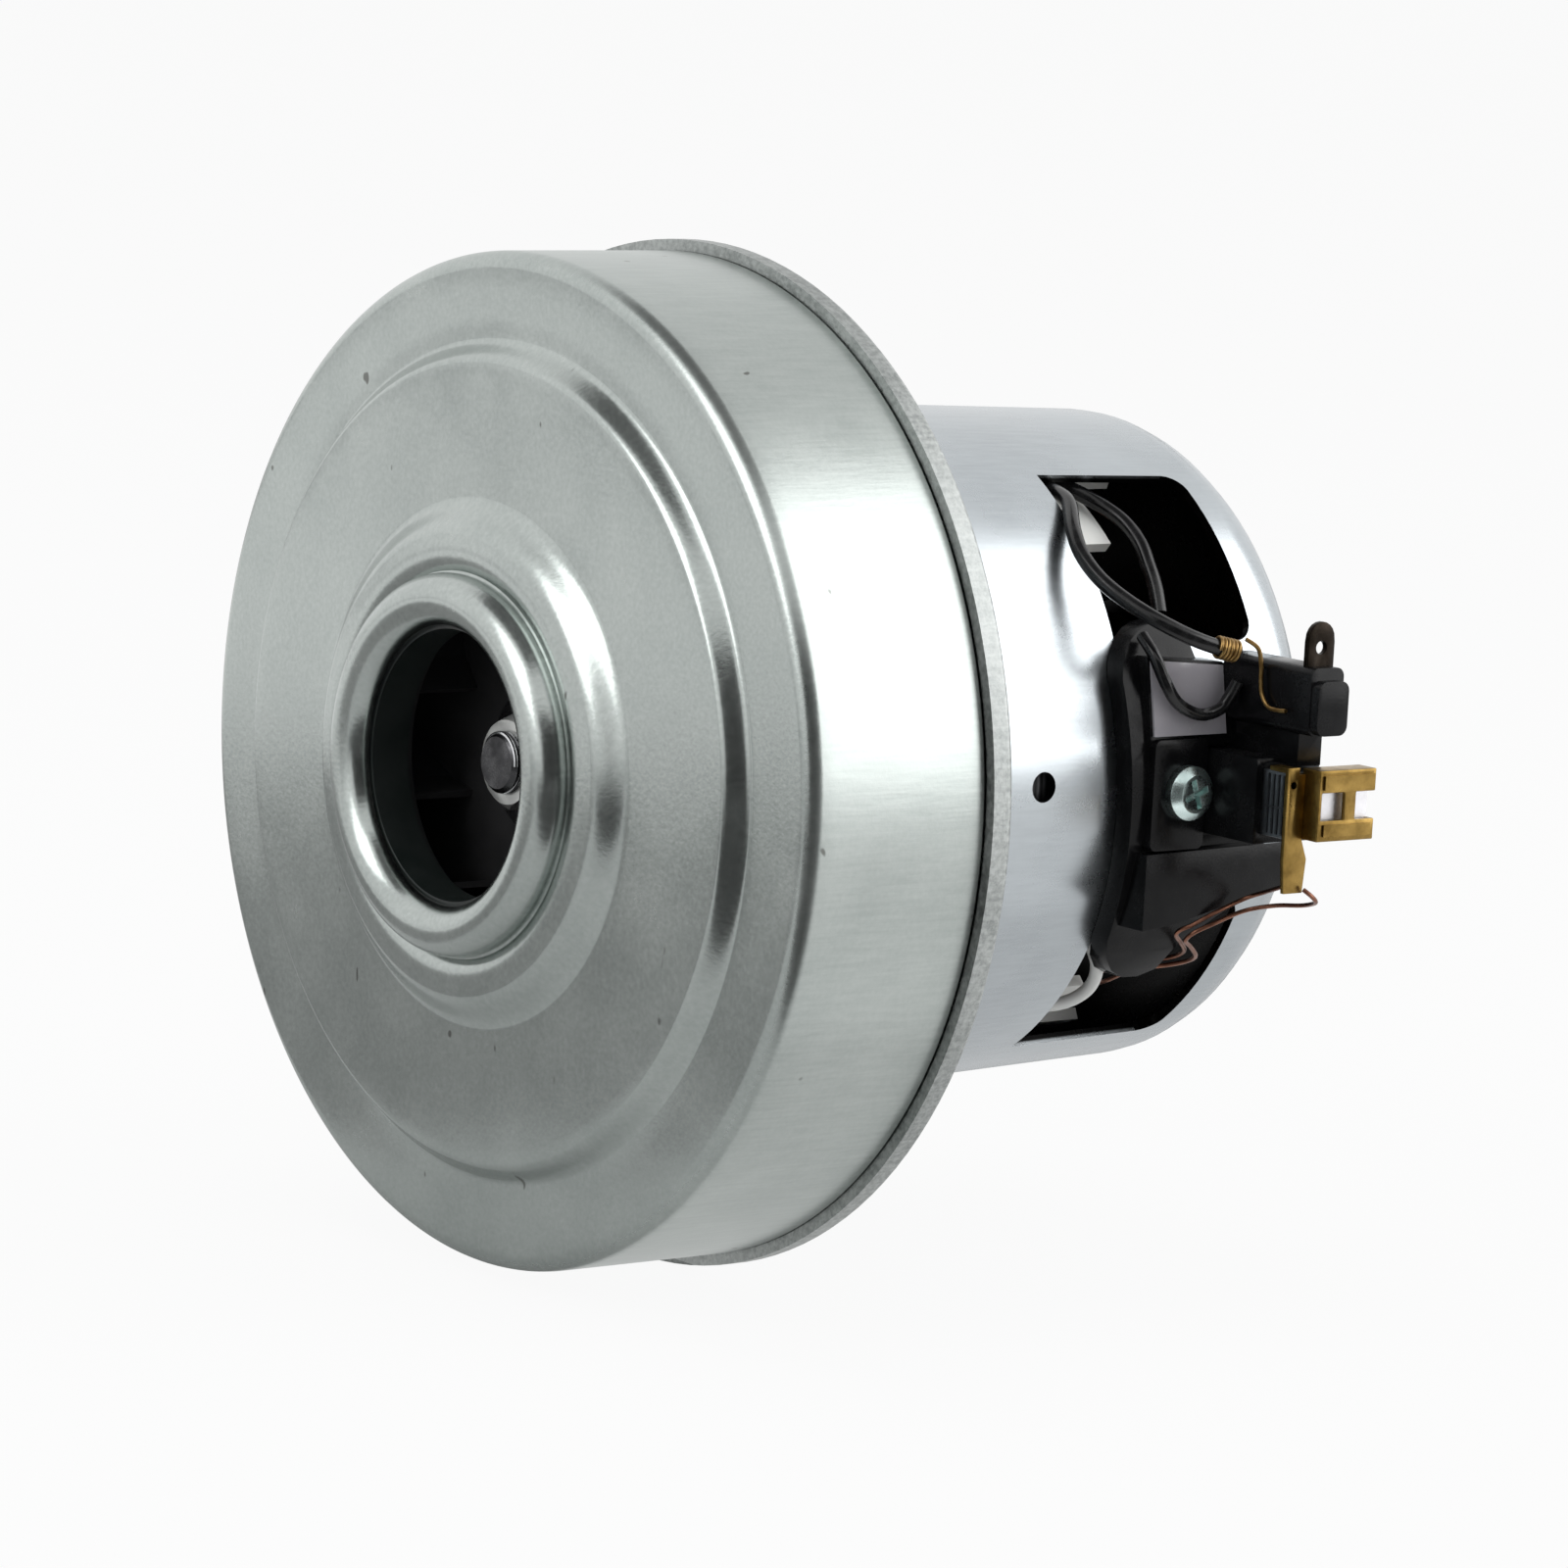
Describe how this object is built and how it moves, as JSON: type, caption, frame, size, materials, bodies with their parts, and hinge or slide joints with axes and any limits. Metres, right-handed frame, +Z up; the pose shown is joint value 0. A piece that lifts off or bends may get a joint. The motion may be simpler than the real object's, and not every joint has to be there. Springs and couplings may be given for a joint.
{
  "type": "vacuum motor unit",
  "caption": "Vacuum cleaner motor: shallow round fan casing with a rolled intake lip, a cup-shaped motor yoke with windows, and a brush holder on each side.",
  "frame": {"origin": "on the shaft axis, halfway along the fan casing band", "axes": "-Y out of the intake, +Y towards the rear bearing boss, +X towards brush holder a, +Z up with the lead tab of holder a"},
  "size_m": [0.135, 0.1215, 0.135],
  "materials": {
    "zinc_sheet": "satin galvanised sheet",
    "bright_zinc": "bright zinc, smooth",
    "bearing_steel": "ground",
    "screw_zinc": "bluish zinc",
    "dark_steel": "oiled",
    "lamination": "varnished stack",
    "holder_plastic": "moulded, glossy",
    "wheel_plastic": "moulded, matt",
    "seal_plastic": "moulded, satin",
    "coil_wire": "varnished copper wire",
    "copper": "bare copper",
    "brass_sheet": "stamped",
    "tube_sheet": "drawn, tinned",
    "carbon": "pressed carbon",
    "spring_steel": "drawn wire",
    "white_nylon": "moulded",
    "hub_resin": "moulded",
    "insulation_board": "pressed board",
    "lead_black": "extruded",
    "sleeve_white": "glass-fibre sleeve",
    "tie_brown": "tinned wire and crimp"
  },
  "bodies": {
    "housing": {"fan_cover": "zinc_sheet", "intake_seal": "seal_plastic", "diffuser": "wheel_plastic", "diffuser_screws": "dark_steel", "front_bracket": "zinc_sheet", "yoke": "bright_zinc", "yoke_screws": "screw_zinc", "stator_core": "lamination", "field_coil_upper": "coil_wire", "field_coil_lower": "coil_wire", "coil_former_upper": "white_nylon", "coil_former_lower": "white_nylon", "front_bearing_outer": "bearing_steel", "front_bearing_shields": "bearing_steel", "rear_bearing_outer": "bearing_steel", "rear_bearing_shields": "bearing_steel", "brush_holder_a": "holder_plastic", "brush_holder_b": "holder_plastic", "brush_tube_a": "tube_sheet", "brush_tube_b": "tube_sheet", "brush_spring_a": "spring_steel", "brush_spring_b": "spring_steel", "brush_clip_a": "brass_sheet", "brush_clip_b": "brass_sheet", "brush_strip_a": "brass_sheet", "brush_strip_b": "brass_sheet", "holder_screws": "screw_zinc", "lead_tab_a": "dark_steel", "lead_tab_b": "dark_steel", "field_lead_a": "lead_black", "field_lead_b": "lead_black", "inner_lead_a": "lead_black", "inner_lead_b": "lead_black", "loop_lead_a": "lead_black", "loop_lead_b": "lead_black", "white_sleeve_a": "sleeve_white", "white_sleeve_b": "sleeve_white", "copper_wires_a": "copper", "copper_wires_b": "copper", "lead_ties": "tie_brown"},
    "rotor": {"shaft": "dark_steel", "spacer_sleeve": "dark_steel", "wheel_back_disc": "wheel_plastic", "wheel_blades": "wheel_plastic", "wheel_front_disc": "wheel_plastic", "wheel_washer": "dark_steel", "wheel_nut": "screw_zinc", "armature_core": "lamination", "armature_winding": "coil_wire", "armature_end_plates": "insulation_board", "commutator_hub": "hub_resin", "commutator_segments": "copper", "front_bearing_inner": "bearing_steel", "rear_bearing_inner": "bearing_steel"},
    "front_cage": {"front_bearing_cage": "brass_sheet", "front_bearing_balls": "bearing_steel"},
    "rear_cage": {"rear_bearing_cage": "brass_sheet", "rear_bearing_balls": "bearing_steel"},
    "brush_a": {"carbon_brush_a": "carbon"},
    "brush_b": {"carbon_brush_b": "carbon"}
  },
  "joints": [
    {"name": "rotor_spin", "type": "hinge", "parent": "housing", "child": "rotor", "pos_m": [0, 0, 0], "axis": [0, 1, 0], "continuous": true},
    {"name": "front_cage_spin", "type": "hinge", "parent": "housing", "child": "front_cage", "pos_m": [0, 0, 0], "axis": [0, 1, 0], "continuous": true},
    {"name": "rear_cage_spin", "type": "hinge", "parent": "housing", "child": "rear_cage", "pos_m": [0, 0, 0], "axis": [0, 1, 0], "continuous": true},
    {"name": "brush_slide_a", "type": "slide", "parent": "housing", "child": "brush_a", "axis": [1, 0, 0], "range_m": [0, 0.006], "stiffness_N_per_m": 200, "springref_m": -0.0175, "deforming": ["brush_spring_a"]},
    {"name": "brush_slide_b", "type": "slide", "parent": "housing", "child": "brush_b", "axis": [-1, 0, 0], "range_m": [0, 0.006], "stiffness_N_per_m": 200, "springref_m": -0.0175, "deforming": ["brush_spring_b"]}
  ],
  "couplings": [
    {"joint": "front_cage_spin", "follows": "rotor_spin", "ratio": 0.38},
    {"joint": "rear_cage_spin", "follows": "rotor_spin", "ratio": 0.38}
  ]
}
